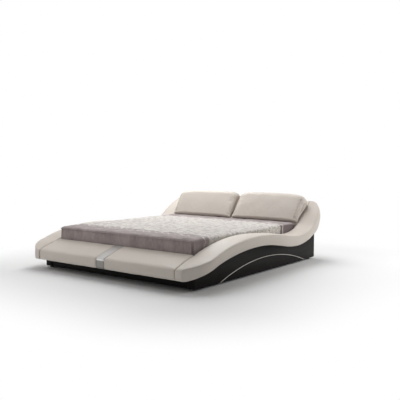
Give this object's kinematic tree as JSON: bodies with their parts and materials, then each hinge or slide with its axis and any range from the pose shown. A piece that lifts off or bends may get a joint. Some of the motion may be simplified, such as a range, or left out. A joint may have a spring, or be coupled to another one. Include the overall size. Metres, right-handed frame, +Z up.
{
  "type": "leather bed",
  "caption": "Low leather bed with wave-shaped side rails, a curled headboard with tilting headrests, a split foot bench, a dark recessed plinth and a slatted mattress deck.",
  "frame": {"origin": "on the floor, under the middle of the whole bed", "axes": "+X to the right as seen from the foot end, +Y from the foot to the head, +Z up"},
  "size_m": [2.496, 2.705, 0.7857],
  "materials": {
    "leather": "fine-grained greige upholstery leather, satin",
    "black_leather": "black grained leather, satin",
    "strap": "silver-grey pearl leather, soft shine",
    "piping": "off-white corded leather edging",
    "mattress": "quilted woven ticking with velour borders",
    "timber": "planed pale timber",
    "board": "raw furniture board",
    "steel": "zinc-plated steel",
    "glide": "black moulded plastic"
  },
  "bodies": {
    "frame": {"side_rail_right": "leather", "side_rail_left": "leather", "headboard_shell": "leather", "bench_pad_right": "leather", "bench_pad_left": "leather", "plinth_side_panel_right": "black_leather", "plinth_side_panel_left": "black_leather", "plinth_front_panel": "black_leather", "plinth_rear_panel": "black_leather", "bench_strap": "strap", "side_piping_right": "piping", "side_piping_left": "piping", "slat_ledge_right": "timber", "slat_ledge_left": "timber", "centre_beam": "timber", "slat_1": "timber", "slat_2": "timber", "slat_3": "timber", "slat_4": "timber", "slat_5": "timber", "slat_6": "timber", "slat_7": "timber", "slat_8": "timber", "slat_9": "timber", "slat_10": "timber", "slat_11": "timber", "slat_12": "timber", "bench_core": "board", "corner_bracket_front_right": "steel", "corner_bracket_front_left": "steel", "corner_bracket_rear_right": "steel", "corner_bracket_rear_left": "steel", "beam_leg_1": "steel", "beam_leg_2": "steel", "beam_leg_3": "steel", "headrest_hinge_right_1_base": "steel", "headrest_hinge_right_1_pin": "steel", "headrest_hinge_right_2_base": "steel", "headrest_hinge_right_2_pin": "steel", "headrest_hinge_left_1_base": "steel", "headrest_hinge_left_1_pin": "steel", "headrest_hinge_left_2_base": "steel", "headrest_hinge_left_2_pin": "steel", "glide_foot_front_right": "glide", "glide_foot_front_left": "glide", "glide_foot_rear_right": "glide", "glide_foot_rear_left": "glide"},
    "mattress": {"mattress": "mattress"},
    "headrest_right": {"headrest_cushion_right": "leather", "headrest_board_right": "board", "headrest_hinge_right_1_arm": "steel", "headrest_hinge_right_2_arm": "steel"},
    "headrest_left": {"headrest_cushion_left": "leather", "headrest_board_left": "board", "headrest_hinge_left_1_arm": "steel", "headrest_hinge_left_2_arm": "steel"}
  },
  "joints": [
    {"name": "mattress_lift", "type": "slide", "parent": "frame", "child": "mattress", "axis": [0, 0, 1], "range_m": [0, 0.3]},
    {"name": "headrest_right_tilt", "type": "hinge", "parent": "frame", "child": "headrest_right", "pos_m": [0, 1.0053, 0.4885], "axis": [1, 0, 0], "range_deg": [0, 30]},
    {"name": "headrest_left_tilt", "type": "hinge", "parent": "frame", "child": "headrest_left", "pos_m": [0, 1.0053, 0.4885], "axis": [1, 0, 0], "range_deg": [0, 30]}
  ]
}
